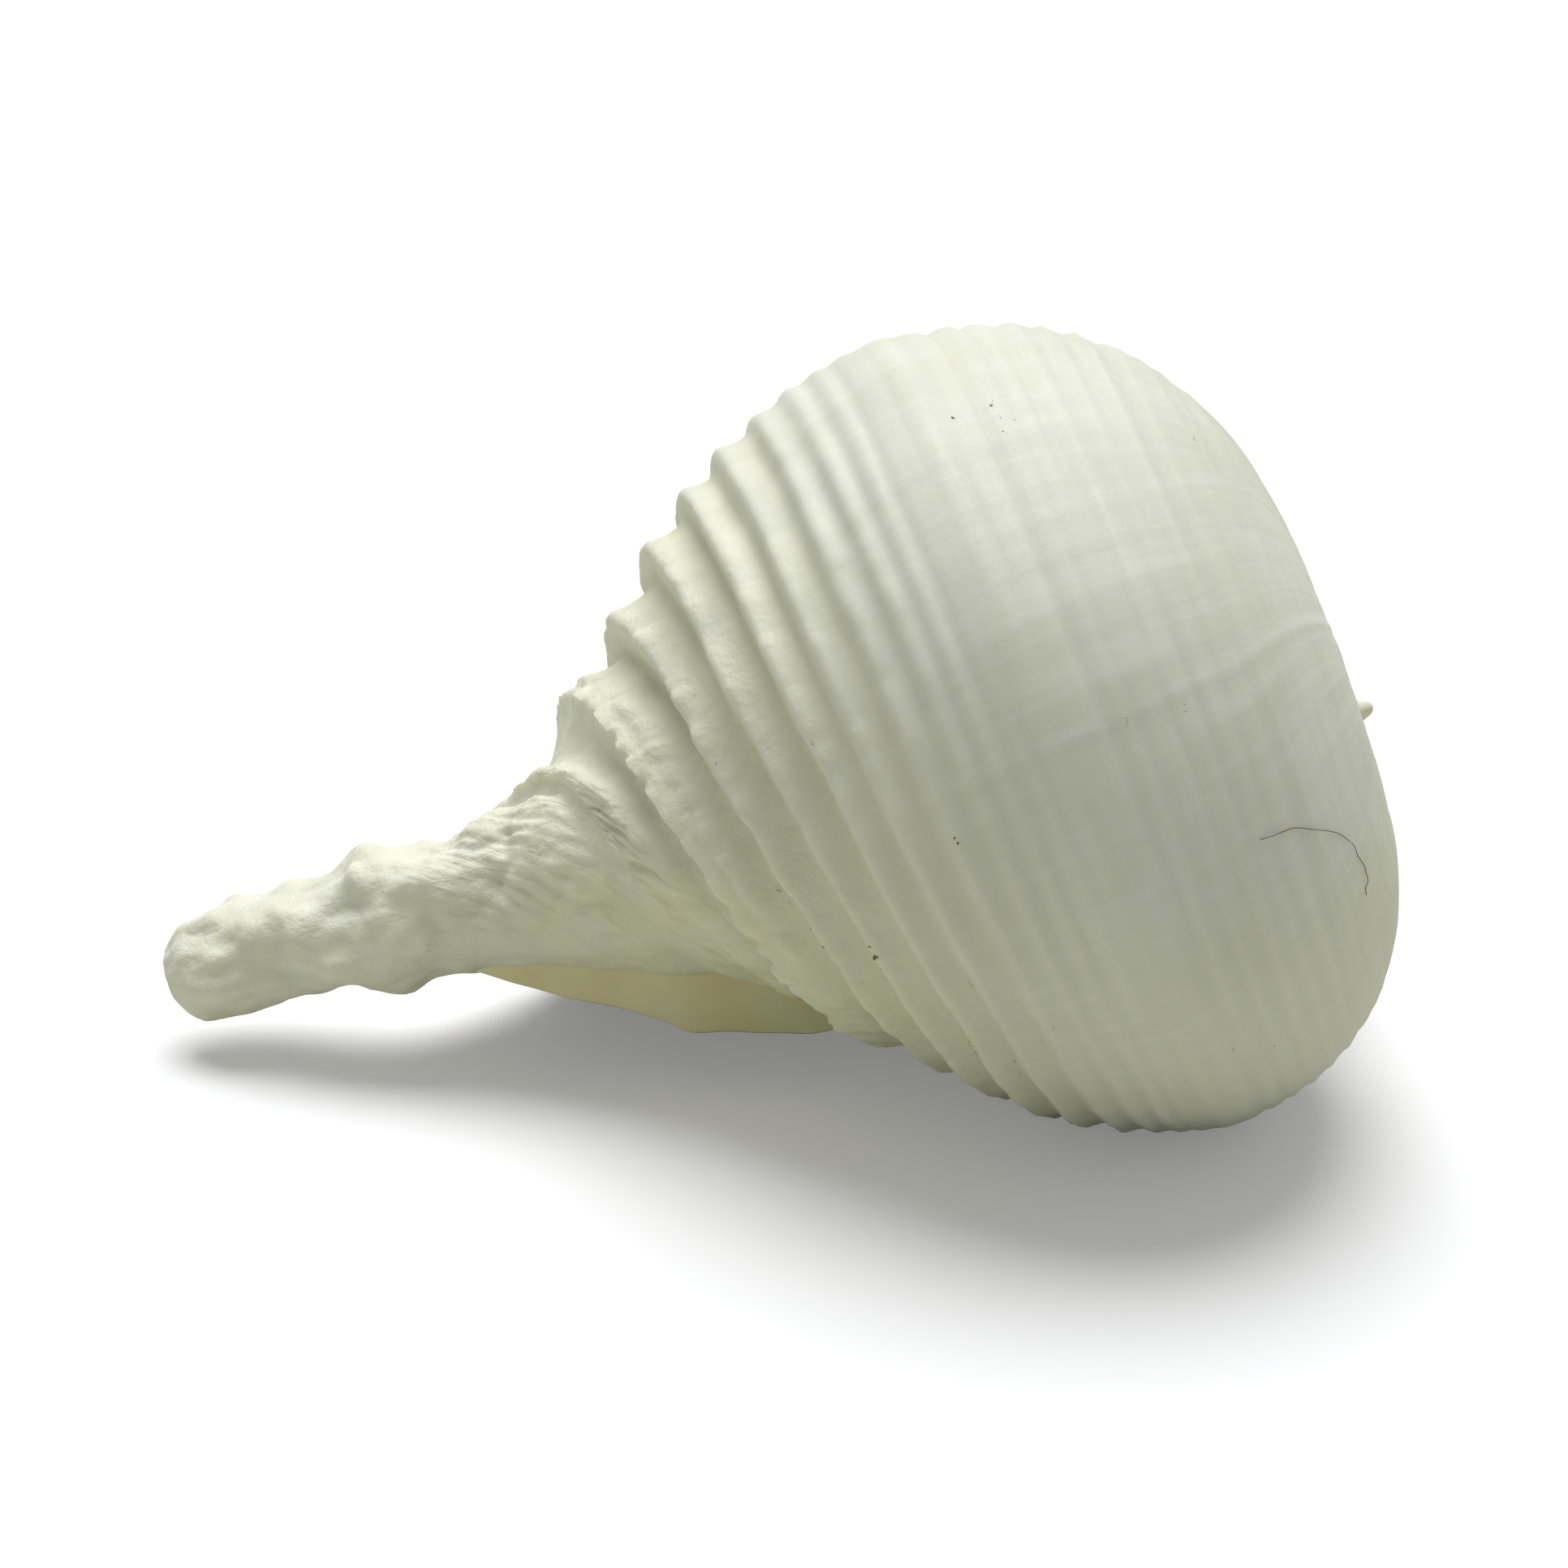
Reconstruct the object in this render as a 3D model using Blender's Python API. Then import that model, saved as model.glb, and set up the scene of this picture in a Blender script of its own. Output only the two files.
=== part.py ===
"""Papery rapa shell, lying on its aperture: one thin-walled spiral shell.

The whole body whorl is one curve, turned about the coiling axis while it grows
by the same ratio in each turn. All lengths are in millimetres until to_world().
"""
import math

import bmesh
import bpy
import numpy as np

MM = 0.001

# Pose of the coiling axis: it rises towards the apex (+X) from a level floor.
AXIS_TILT = 18.4
AXIS_YAW = 1.0
# How far the underside of the body whorl is flattened where it rests.
REST_FLAT = 0.2

# Growth: size ratio from one whorl to the next, and the azimuth of the lip.
# Azimuth 0 is straight up, -90 the near side, 90 the far side.
TURN_RATIO = 2.08
LIP_AZIMUTH = 135.0
COLUMNS = 44

# Outline of the body whorl in the plane of azimuth 0: distance along the axis
# from the apex (negative towards the canal) and radius from the axis.
SHOULDER = [(-1.1, 9.5), (-1.3, 11.4), (-2.1, 13.9), (-3.35, 16.3)]
BULGE = [(-5.15, 18.9), (-7.7, 21.25), (-11.2, 23.15), (-15.8, 24.1)]
BASE = [(-19.8, 23.5), (-23.5, 22.35), (-27.6, 20.3), (-31.0, 17.3), (-35.1, 12.8)]

# Spiral cords, by their place along the axis. The strong ones have a steep
# front face towards the canal and hollows between them.
STRONG_CORDS = [-25.6, -27.75, -30.2, -32.8, -35.1]
STRONG_DEPTH = 0.95
FINE_CORDS = [-13.2, -15.05, -16.9, -18.4, -19.9, -21.4, -23.3]
FINE_DEPTH = 0.32

# Fasciole and siphonal canal: place along the axis, radius, and how far its
# centre lies above the axis and towards the far side.
PILLAR = [
    (-24.0, 9.6, 0.3, 0.1),
    (-28.0, 9.0, 2.4, 0.6),
    (-31.0, 8.1, 3.9, 1.0),
    (-34.0, 7.4, 4.0, 1.2),
    (-37.5, 6.1, 4.0, 1.4),
    (-41.0, 4.7, 3.9, 1.7),
    (-46.0, 3.6, 3.9, 2.3),
    (-52.5, 3.35, 3.8, 3.4),
    (-58.0, 3.15, 3.7, 4.5),
    (-61.0, 2.7, 3.7, 5.0),
    (-62.4, 1.5, 3.7, 5.2),
]
CANAL_TIP = (-62.8, 3.7, 5.25)
BLEND_LENGTH = 6.8
BASE_SLOPE = 0.8
BASE_ROWS = 9
CANAL_JOIN = -52.55

# Protoconch: rings of place along the axis and radius.
NUB = [(-0.35, 0.85), (-0.05, 0.6), (0.22, 0.34)]
NUB_TIP = 0.4

# Hollow of the whorl in the plane of azimuth 0, going once round.
HOLLOW = [
    (-2.5, 11.2), (-3.0, 13.6), (-4.4, 16.4), (-6.6, 19.1), (-9.6, 21.2),
    (-13.5, 22.5), (-18.0, 22.4), (-22.5, 21.0), (-26.2, 18.7), (-29.4, 15.9),
    (-32.6, 12.6), (-35.4, 9.0), (-35.8, 5.6), (-33.4, 3.9), (-29.0, 4.1),
    (-24.5, 5.0), (-20.5, 6.3), (-17.2, 8.7), (-14.2, 11.0), (-10.8, 12.6),
    (-7.2, 12.9), (-4.2, 12.1),
]
HOLLOW_START = LIP_AZIMUTH + 12.0
HOLLOW_TURN = 395.0
HOLLOW_COLUMNS = 46

# Gutter of the open canal, an oval cut facing down and towards the aperture.
GUTTER_AZIMUTH = 152.0
GUTTER_OFFSET = 2.3
GUTTER_DEPTH = 3.1
GUTTER_HALF_WIDTH = 1.45
GUTTER_RUN = (-43.0, -65.0)
GUTTER_SIDES = 12
GUTTER_STEPS = 9

# Inner lip: a thin free leaf along the columella, between the canal and the wall of
# the whorl. Place along the axis, height of its lower edge, and offset to the far side.
INNER_LIP = [
    (-47.5, 1.3, 1.3), (-44.4, -0.7, 0.6), (-42.2, -2.1, 0.2), (-39.9, -3.2, -0.2),
    (-37.8, -4.6, -0.6), (-36.6, -5.5, -0.9), (-34.8, -6.0, -1.0), (-31.0, -7.4, -1.0),
    (-28.0, -7.5, -0.9), (-25.0, -7.3, -0.6),
]
INNER_LIP_THICKNESS = 1.0

# Notch where the outer lip rises from the floor to the canal, seen from the near side.
NOTCH = [(-8.0, -1.0), (-9.3, 0.6), (-11.5, 2.4), (-14.5, 5.2), (-33.0, 5.2), (-33.0, -1.0)]
NOTCH_WIDTH = (-0.4, 26.0)

SHELL_COLOUR = (0.83, 0.83, 0.74, 1.0)


def clear_scene():
    for item in list(bpy.data.objects):
        bpy.data.objects.remove(item, do_unlink=True)


def growth(azimuth):
    """Size of the spiral at an azimuth in degrees, 1 at azimuth 0."""
    return TURN_RATIO ** (azimuth / 360.0)


def smooth_curve(points, steps):
    """Catmull-Rom curve through the points, with a number of steps in each span."""
    pts = np.array([2 * np.array(points[0]) - np.array(points[1])] + list(points)
                   + [2 * np.array(points[-1]) - np.array(points[-2])], dtype=float)
    out = []
    for i in range(1, len(pts) - 2):
        p0, p1, p2, p3 = pts[i - 1:i + 3]
        for t in np.arange(steps) / steps:
            out.append(0.5 * (2 * p1 + (p2 - p0) * t + (2 * p0 - 5 * p1 + 4 * p2 - p3) * t * t
                              + (3 * p1 - p0 - 3 * p2 + p3) * t ** 3))
    out.append(pts[-2])
    return np.array(out)


def whorl_outline():
    """Outline of the body whorl from its suture to the last cord, with the cords on it."""
    suture = np.array(SHOULDER[-1]) / TURN_RATIO
    base_line = smooth_curve([SHOULDER[-1]] + BULGE + BASE, 24)
    normal = np.gradient(base_line, axis=0)
    normal = np.stack([normal[:, 1], -normal[:, 0]], axis=1)
    normal /= np.linalg.norm(normal, axis=1)[:, None]
    if normal[0, 1] < 0:
        normal = -normal

    def on_base(place, depth):
        i = int(np.argmin(np.abs(base_line[:, 0] - place)))
        return base_line[i] - normal[i] * depth

    rows = [suture] + [np.array(p) for p in SHOULDER]
    for place in (-4.0, -5.2, -6.8, -8.7, -10.6):
        rows.append(on_base(place, 0.0))
    for i, place in enumerate(FINE_CORDS):
        rows.append(on_base(place + 0.75, FINE_DEPTH * (0.4 + 0.6 * i / len(FINE_CORDS))))
        rows.append(on_base(place, 0.0))
    last = FINE_CORDS[-1]
    for place in STRONG_CORDS:
        span = last - place
        rows.append(on_base(last - 0.25 * span, STRONG_DEPTH * min(1.0, span / 2.0)))
        rows.append(on_base(last - 0.65 * span, STRONG_DEPTH * 0.55 * min(1.0, span / 2.0)))
        rows.append(on_base(place, 0.0))
        last = place
    return np.array(rows)


def radial(azimuth):
    """Unit vector out from the axis: far side and up, the axis being the first entry."""
    angle = math.radians(azimuth)
    return np.array([0.0, math.sin(angle), math.cos(angle)])


def spiral_point(profile_point, azimuth):
    size = growth(azimuth)
    return np.array([profile_point[0] * size, 0.0, 0.0]) + profile_point[1] * size * radial(azimuth)


def pillar_at(place):
    """Radius and centre of the fasciole and canal at a place along the axis."""
    table = np.array(PILLAR[::-1])
    radius, rise, sway = (np.interp(place, table[:, 0], table[:, i]) for i in (1, 2, 3))
    return radius, np.array([place, sway, rise])


def pillar_point(place, azimuth):
    radius, centre = pillar_at(place)
    return centre + radius * radial(azimuth)


def base_rows(cord_point, azimuth):
    """Rows from the last cord down into the fasciole and on to the canal."""
    start = cord_point * growth(azimuth)
    points = []
    for i in range(1, BASE_ROWS + 1):
        place = start[0] + (CANAL_JOIN - start[0]) * i / BASE_ROWS
        drop = start[0] - place
        radius = max(start[1] - BASE_SLOPE * drop, 2.0)
        body = np.array([place, 0.0, 0.0]) + radius * radial(azimuth)
        t = min(drop / BLEND_LENGTH, 1.0)
        mix = t * t * (3 - 2 * t)
        points.append((1 - mix) * body + mix * pillar_point(place, azimuth))
    return points


def column_points(outline, azimuth):
    """One column of the outer surface, from the protoconch to the canal."""
    exposed = len(SHOULDER)
    points = [np.array([place, 0.0, 0.0]) + radius * radial(azimuth)
              for place, radius in reversed(NUB)]
    for turns_back in (2, 1):
        back = azimuth - 360.0 * turns_back
        points += [spiral_point(outline[i], back) for i in range(exposed)]
    points += [spiral_point(p, azimuth) for p in outline]
    points += base_rows(outline[-1], azimuth)
    points += [pillar_point(place, azimuth) for place in (-55.5, -58.0, -60.0, -61.2, -62.2)]
    return points


def add_object(name, bm):
    mesh = bpy.data.meshes.new(name)
    bm.normal_update()
    bm.to_mesh(mesh)
    bm.free()
    item = bpy.data.objects.new(name, mesh)
    bpy.context.scene.collection.objects.link(item)
    return item


def aperture_faces(bm, grid, outline):
    """Faces between the lip and the whorl before it, in the plane of the lip."""
    exposed = len(SHOULDER)
    first = len(NUB) + 2 * exposed
    last = first + len(outline) + BASE_ROWS
    lip = grid[-1][first:last]
    wall = grid[0][first + exposed:last]
    for i in range(1, exposed):
        bm.faces.new((wall[0], lip[i], lip[i + 1]))
    for i in range(len(wall) - 1):
        corners = (wall[i], lip[i + exposed], lip[i + exposed + 1], wall[i + 1])
        bm.faces.new(corners[:3] if i == len(wall) - 2 else corners)


def column_azimuths():
    return [LIP_AZIMUTH - 360.0 + 360.0 * j / COLUMNS for j in range(COLUMNS + 1)]


def outer_solid(outline):
    """Closed outer form: the last whorl, the spire, the fasciole and the canal."""
    bm = bmesh.new()
    grid = [[bm.verts.new(p) for p in column_points(outline, a)] for a in column_azimuths()]
    for left, right in zip(grid[:-1], grid[1:]):
        for i in range(len(left) - 1):
            bm.faces.new((left[i], left[i + 1], right[i + 1], right[i]))
    apex = bm.verts.new((NUB_TIP, 0.0, 0.0))
    tip = bm.verts.new((CANAL_TIP[0], CANAL_TIP[2], CANAL_TIP[1]))
    for left, right in zip(grid[:-1], grid[1:]):
        bm.faces.new((apex, left[0], right[0]))
        bm.faces.new((tip, right[-1], left[-1]))
    aperture_faces(bm, grid, outline)
    bmesh.ops.remove_doubles(bm, verts=bm.verts, dist=1e-4)
    rim = [e for e in bm.edges if len(e.link_faces) == 1]
    bmesh.ops.holes_fill(bm, edges=rim, sides=0)
    bmesh.ops.recalc_face_normals(bm, faces=bm.faces)
    return add_object("outer_form", bm)


def tube_solid(name, rings):
    """Closed tube through rings of points, with its two ends filled."""
    bm = bmesh.new()
    loops = [[bm.verts.new(p) for p in ring] for ring in rings]
    for a, b in zip(loops[:-1], loops[1:]):
        for i in range(len(a)):
            k = (i + 1) % len(a)
            bm.faces.new((a[i], a[k], b[k], b[i]))
    bm.faces.new(loops[0])
    bm.faces.new(list(reversed(loops[-1])))
    bmesh.ops.recalc_face_normals(bm, faces=bm.faces)
    return add_object(name, bm)


def hollow_cutter():
    """The spiral hollow, from just outside the lip to deep in the whorl before."""
    rings = []
    for j in range(HOLLOW_COLUMNS + 1):
        azimuth = HOLLOW_START - HOLLOW_TURN * j / HOLLOW_COLUMNS
        rings.append([spiral_point(p, azimuth) for p in HOLLOW])
    return tube_solid("hollow_cutter", rings)


def gutter_cutter():
    """The open gutter of the siphonal canal."""
    outward = radial(GUTTER_AZIMUTH)
    across = radial(GUTTER_AZIMUTH + 90.0)
    rings = []
    for j in range(GUTTER_STEPS + 1):
        place = GUTTER_RUN[0] + (GUTTER_RUN[1] - GUTTER_RUN[0]) * j / GUTTER_STEPS
        centre = pillar_at(place)[1] + GUTTER_OFFSET * outward
        ring = []
        for i in range(GUTTER_SIDES):
            angle = 2 * math.pi * i / GUTTER_SIDES
            ring.append(centre + GUTTER_DEPTH * math.cos(angle) * outward
                        + GUTTER_HALF_WIDTH * math.sin(angle) * across)
        rings.append(ring)
    return tube_solid("gutter_cutter", rings)


def inner_lip():
    """The leaf of the inner lip, rooted in the columella."""
    rings = []
    half = 0.5 * INNER_LIP_THICKNESS
    for place, low, offset in INNER_LIP:
        radius, centre = pillar_at(place)
        root = centre[2] - 0.35 * radius
        rings.append([(place, offset + 1.4 - half, root), (place, offset - half, low + 0.9),
                      (place, offset - 0.6 * half, low + 0.2), (place, offset + 0.6 * half, low),
                      (place, offset + half, low + 0.7), (place, offset + 1.4 + half, root)])
    return tube_solid("inner_lip", rings)


def notch_cutter():
    """Prism across the front end of the outer lip, in world axes."""
    rings = [[(x * MM, y * MM, z * MM) for x, z in NOTCH] for y in NOTCH_WIDTH]
    return tube_solid("notch_cutter", rings)


def floor_cutter():
    bm = bmesh.new()
    bmesh.ops.create_cube(bm, size=1.0)
    bmesh.ops.scale(bm, vec=(0.2, 0.2, 0.04), verts=bm.verts)
    bmesh.ops.translate(bm, vec=(0.0, 0.0, -0.02), verts=bm.verts)
    return add_object("floor_cutter", bm)


def axis_frame():
    """Columns: the coiling axis towards the apex, the far side, and up, in world axes."""
    tilt = math.radians(AXIS_TILT)
    yaw = math.radians(AXIS_YAW)
    along = np.array([math.cos(tilt) * math.cos(yaw), math.cos(tilt) * math.sin(yaw), math.sin(tilt)])
    far = np.array([-math.sin(yaw), math.cos(yaw), 0.0])
    return np.stack([along, far, np.cross(along, far)], axis=1)


def to_world(items, shift):
    """Turn the meshes from axis coordinates in millimetres to the resting pose in metres."""
    frame = axis_frame()
    for item in items:
        for vertex in item.data.vertices:
            vertex.co = (frame @ np.array(vertex.co) + shift) * MM


def resting_shift(outline):
    """Shift that lays the body whorl on the floor, over the middle of its own footprint."""
    frame = axis_frame()
    underside = [(frame @ spiral_point(p, azimuth))[2]
                 for azimuth in range(-240, -150, 2) for p in outline]
    floor = min(underside) + REST_FLAT
    columns = [column_points(outline, azimuth) for azimuth in column_azimuths()]
    points = np.array([frame @ p for column in columns for p in column])
    points = points[points[:, 2] > floor]
    middle = 0.5 * (points.min(axis=0) + points.max(axis=0))
    return np.array([-middle[0], -middle[1], -floor])


def combine(item, cutter, operation="DIFFERENCE"):
    cut = item.modifiers.new(cutter.name, "BOOLEAN")
    cut.operation = operation
    cut.solver = "EXACT"
    cut.object = cutter
    cutter.hide_render = True
    cutter.display_type = "WIRE"


def shell_material():
    material = bpy.data.materials.new("shell_white")
    material.use_nodes = True
    bsdf = material.node_tree.nodes["Principled BSDF"]
    bsdf.inputs["Base Color"].default_value = SHELL_COLOUR
    bsdf.inputs["Roughness"].default_value = 0.55
    bsdf.inputs["Metallic"].default_value = 0.0
    return material


def build_shell():
    outline = whorl_outline()
    shell = outer_solid(outline)
    shell.name = "shell"
    leaf = inner_lip()
    hollow = hollow_cutter()
    gutter = gutter_cutter()
    to_world([shell, leaf, hollow, gutter], resting_shift(outline))
    combine(shell, leaf, "UNION")
    for cutter in (hollow, gutter, notch_cutter(), floor_cutter()):
        combine(shell, cutter)
    shell.data.materials.append(shell_material())
    shell.data.shade_smooth()
    shell.data.set_sharp_from_angle(angle=math.radians(40))


clear_scene()
build_shell()
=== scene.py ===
"""Papery rapa shell: the look of the shell, its floor, light and camera.

The outer wall is one fine grid in spiral coordinates. Each row keeps its place in
the whorl's profile and each column is an azimuth about the coiling axis. Lengths
are in millimetres until they are written into a mesh.
"""
import math

import bmesh
import bpy
import numpy as np
from mathutils import Matrix, Vector
from mathutils.bvhtree import BVHTree
from mathutils.kdtree import KDTree


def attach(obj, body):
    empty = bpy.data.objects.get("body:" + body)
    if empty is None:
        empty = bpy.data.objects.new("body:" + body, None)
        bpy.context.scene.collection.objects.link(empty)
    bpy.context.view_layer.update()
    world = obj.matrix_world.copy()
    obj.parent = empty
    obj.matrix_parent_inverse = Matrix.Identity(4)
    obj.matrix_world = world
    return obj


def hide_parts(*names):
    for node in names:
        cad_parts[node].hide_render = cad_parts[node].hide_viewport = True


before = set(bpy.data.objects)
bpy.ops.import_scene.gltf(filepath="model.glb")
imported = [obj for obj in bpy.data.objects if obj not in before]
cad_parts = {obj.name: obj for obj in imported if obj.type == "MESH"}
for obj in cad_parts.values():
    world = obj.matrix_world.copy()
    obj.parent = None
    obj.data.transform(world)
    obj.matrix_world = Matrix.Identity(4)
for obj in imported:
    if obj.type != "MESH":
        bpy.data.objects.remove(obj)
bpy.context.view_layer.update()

MM = 0.001

# Pose of the coiling axis and place of the apex, as in the CAD solid.
AXIS_TILT = 18.4
AXIS_YAW = 1.0
APEX = np.array([29.559, -4.173, 19.848])

# The photograph in its own pixels: width, how far right of and above its middle the apex
# lies, and distance of the camera. Then pixels to a millimetre at the apex, and the
# camera's angle above the floor in degrees.
PHOTO_WIDTH = 1932.0
APEX_RIGHT = 709.5
APEX_ABOVE = 90.5
CAMERA_DISTANCE = 3400.0
PIXELS_PER_MM = 25.0
CAMERA_ELEVATION = 20.0

# Growth of the spiral in a turn, and azimuth of the lip. Azimuth 0 is straight up and
# -90 the near side.
TURN_RATIO = 2.08
LIP = 135.0

# Profile of the body whorl in the plane of azimuth 0, from suture to last cord, and the
# number of steps between two of its points.
SHOULDER = [(-1.1, 9.5), (-1.3, 11.4), (-2.1, 13.9), (-3.35, 16.3)]
BULGE = [(-5.15, 18.9), (-7.7, 21.25), (-11.2, 23.15), (-15.8, 24.1)]
BASE = [(-19.8, 23.5), (-23.5, 22.35), (-27.6, 20.3), (-31.0, 17.3), (-35.1, 12.8)]
PROFILE_STEPS = 40

# Crests of the spiral cords: length along the profile from the suture, and depth
# of the hollow in front of each.
CORDS = [
    (9.9, 0.08), (11.2, 0.10), (12.4, 0.13), (13.6, 0.19), (15.6, 0.24), (17.1, 0.22),
    (18.75, 0.27), (20.4, 0.28), (21.75, 0.28), (23.6, 0.23), (24.6, 0.19), (25.5, 0.20),
    (27.0, 0.23), (28.5, 0.30), (30.1, 0.42), (32.1, 0.64), (34.6, 0.92), (37.1, 1.13),
    (40.3, 1.22), (44.05, 1.30), (47.45, 1.1),
]

# Share of a cord's spacing that its steep front takes, steps along the profile that
# round the crests off, reach of the last hollow, and where the faint cords end.
FRONT_SHARE = 0.34
CREST_STEPS = (-0.34, -0.17, 0.0, 0.17, 0.34)
LAST_REACH = 3.6
FAINT_END = 24.0

# Uneven crests of the strong cords: length along the profile and height of the scales.
CREST_SCALES = [
    (30.1, 0.05), (32.1, 0.08), (34.6, 0.10), (37.1, 0.13), (40.3, 0.16), (44.05, 0.19), (47.45, 0.30),
]

# Growth lines: how far their azimuth falls back along the profile.
GROWTH_LAG = [(0.0, -11.0), (4.0, -5.2), (8.75, 0.0), (15.0, 6.9), (21.5, 10.0),
              (31.8, 12.4), (40.0, 13.2), (47.5, 13.6)]

# Raised growth lines: azimuth at the shoulder, height and width in degrees.
GROWTH_RIDGES = [
    (-50.6, 0.035, 1.2), (-46.0, 0.012, 1.5), (-36.0, 0.016, 1.8), (-30.0, 0.012, 1.5),
    (-71.0, 0.012, 1.4), (-12.0, 0.02, 1.6), (8.0, 0.04, 1.8),
]

# Last cord: its crest and the floor of the hollow before it, as shares of the way from
# the scaly cord to the canal, by azimuth.
LAST_CREST = [(-120, 0.27), (-75, 0.26), (-60, 0.255), (-40, 0.225), (-20, 0.215), (0, 0.25),
              (12, 0.30), (25, 0.34), (60, 0.36)]
HOLLOW_FLOOR = [(-120, 0.135), (-60, 0.14), (-25, 0.15), (0, 0.21), (15, 0.28), (60, 0.36)]

# Lamellae of the fasciole: how far they run along the axis in a degree, spacing and height.
SLANT = 0.11
LAMELLA_SPACING = 1.25
LAMELLA_HEIGHT = 0.21

# Fasciole and canal: place along the axis, radius, rise and sway of the centre.
PILLAR = [
    (-24.0, 9.6, 0.3, 0.1), (-28.0, 9.0, 2.4, 0.6), (-31.0, 8.1, 3.9, 1.0),
    (-34.0, 7.4, 4.0, 1.2), (-37.5, 6.1, 4.0, 1.4), (-41.0, 4.7, 3.9, 1.7),
    (-46.0, 3.6, 3.9, 2.3), (-52.5, 3.35, 3.8, 3.4), (-58.0, 3.15, 3.7, 4.5),
    (-61.0, 2.7, 3.7, 5.0), (-62.4, 1.5, 3.7, 5.2),
]

# End of the canal: its tip by place along the axis, sway and rise, and the places of the
# last rows before it, over which the detail dies away.
CANAL_TIP = (-62.8, 5.25, 3.7)
CANAL_END = [-61.1, -61.5, -61.9, -62.2, -62.4]
CLOSING_ROWS = 6

# Single lumps and hollows: place, azimuth, height, length and width in degrees.
CANAL_LUMPS = [
    (-41.3, 20, -0.3, 1.2, 38), (-44.8, 20, -0.72, 2.3, 38), (-50.2, 15, 0.62, 1.25, 45),
    (-52.3, 15, 0.12, 0.9, 40), (-53.8, 15, -0.2, 1.0, 40), (-55.6, 20, 0.17, 1.0, 40),
    (-61.0, 15, -0.6, 1.4, 50), (-46.7, -160, 0.3, 1.0, 40), (-50.2, -160, 0.5, 1.0, 40),
    (-52.7, -160, -0.7, 0.9, 40), (-54.0, -160, -0.7, 1.3, 40), (-56.5, -160, -0.45, 1.6, 40),
    (-59.2, -160, -0.5, 1.4, 40), (-61.9, -150, 0.6, 1.0, 40), (-50.2, -54, -0.3, 1.2, 15),
    (-48.5, -62, -0.25, 0.8, 11), (-50.4, -23, 0.35, 0.5, 14), (-47.5, -94, 0.3, 0.8, 9),
    (-46.1, -63, 0.3, 0.5, 13), (-43.2, -65, -0.35, 0.5, 11), (-42.1, -30, -0.35, 0.5, 13),
    (-53.6, -60, 0.35, 1.2, 22), (-57.4, -40, 0.3, 1.3, 26), (-55.6, -95, -0.35, 1.0, 20),
    (-59.2, -85, 0.25, 1.2, 25),
]

# Places along the axis where the base runs into the canal and where the canal's end
# starts to round off, length over which the base turns into the pillar, and how fast
# the base narrows.
CANAL_JOIN = -52.55
CANAL_ROUNDING = -60.7
BLEND_LENGTH = 6.8
BASE_SLOPE = 0.8

# Rows of the grid in each part, and where the closer rows of the strong cords start. A
# whorl of the spire shares the last row of its shoulder with the next whorl.
SHOULDER_ROWS = 17
SPIRE_ROWS = SHOULDER_ROWS - 1
BULGE_ROWS = 35
CORD_ROWS = 82
BASE_ROWS = 75
CANAL_ROWS = 27
STRONG_START = 27.5

# Azimuths between which the columns are close together, and the number of columns there
# and on each part of the far side.
NEAR_SIDE = (-152, 62)
NEAR_COLUMNS = 252
FAR_COLUMNS = 34

# Length that stands for the way down the base in the materials' coordinates.
BASE_REACH = 16.0

# Nub in the middle of the spire: place along the axis and radius, then place of its tip.
NUB = [(-0.35, 0.85), (-0.24, 0.70), (-0.08, 0.58), (0.16, 0.47), (0.42, 0.37), (0.60, 0.21)]
NUB_TIP = 0.68

# Inner side of the hollow, from the front of the columella back to the suture.
COLUMELLA = [
    (-35.9, 9.4), (-36.3, 7.2), (-35.8, 5.2), (-33.4, 3.9), (-29.0, 4.1), (-24.5, 5.0),
    (-20.5, 6.3), (-17.2, 8.7), (-14.2, 11.0), (-10.8, 12.6), (-7.2, 12.9), (-4.2, 12.3), (-2.7, 11.5),
]

# Thickness of the wall, and the lengths along the profile where the hollow starts, takes
# closer points and ends.
WALL = 0.5
HOLLOW_SPAN = (5.4, 27.0, 46.9)

# Open gutter of the canal: azimuth, places along the axis between which it runs, distance
# of its middle from the canal's, and half of its depth and of its width.
GUTTER_AZIMUTH = 152.0
GUTTER_SPAN = (-42.0, -65.0)
GUTTER_OFFSET = 2.3
GUTTER_HALF_DEPTH = 3.2
GUTTER_HALF_WIDTH = 1.35

# Leaf of the inner lip: half of its thickness at the root and at the edge, then its
# place along the axis, rise of its edge and sway.
LEAF_ROOT = 0.42
LEAF_EDGE = 0.20
INNER_LIP = [
    (-47.5, 1.3, 1.3), (-44.4, -0.7, 0.6), (-42.2, -2.1, 0.2), (-39.9, -3.2, -0.2),
    (-37.8, -4.6, -0.6), (-36.6, -5.5, -0.9), (-34.8, -6.0, -1.0), (-31.0, -7.4, -1.0),
    (-28.0, -7.5, -0.9), (-25.0, -7.3, -0.6),
]

# Cut that opens the aperture behind the leaf, in the frame's own axes: its outline by x
# and z, and its reach in y.
NOTCH = [(-8.0, -1.0), (-9.3, 0.6), (-11.5, 2.4), (-14.5, 5.2), (-33.0, 5.2), (-33.0, -1.0)]
NOTCH_WIDTH = (-0.4, 26.0)

# Distance from the outer wall beyond which the surface counts as the inside.
INNER_GAP = 0.22

# Stray fibre on the near side: its radius, and its points by length along the profile
# and azimuth.
FIBRE_RADIUS = 0.018
FIBRE = [(17.4, -80.9), (16.2, -81.3), (15.0, -81.8), (13.0, -84.7), (12.1, -86.4), (11.4, -88.8),
         (10.75, -93.7), (10.4, -96.9), (10.9, -99.5), (11.1, -101.6)]

# Pale growth lines: azimuth at the shoulder and strength.
STREAKS = [(-50.6, 0.8), (-46.0, 0.25), (-36.2, 0.4), (-31.0, 0.25), (-71.0, 0.2), (-12.0, 0.15)]

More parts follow.
